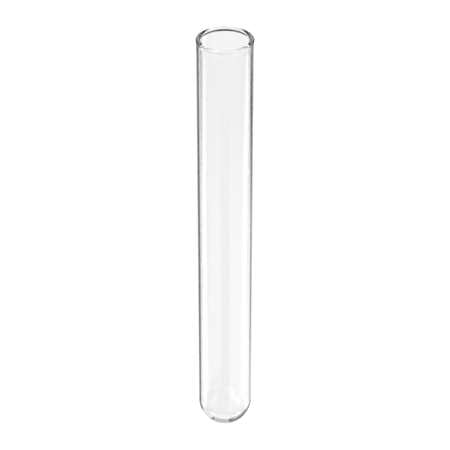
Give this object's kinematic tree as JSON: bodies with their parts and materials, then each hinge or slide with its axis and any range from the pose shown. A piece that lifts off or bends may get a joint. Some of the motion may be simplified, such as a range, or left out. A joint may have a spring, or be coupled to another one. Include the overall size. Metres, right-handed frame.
{
  "type": "test tube",
  "caption": "Clear glass laboratory test tube: straight cylindrical wall, hemispherical closed bottom and a slightly thickened, fire-polished open rim.",
  "frame": {"origin": "lowest point of the round bottom, on the tube's axis, where it seats in a rack", "axes": "+Z along the tube's axis, from the closed bottom to the open mouth; X and Y are any two directions across it"},
  "size_m": [0.0184, 0.0184, 0.149],
  "materials": {
    "clear_glass": "clear and colourless, flame-worked and fire-polished"
  },
  "bodies": {
    "root": {"glass_tube": "clear_glass"}
  },
  "joints": []
}
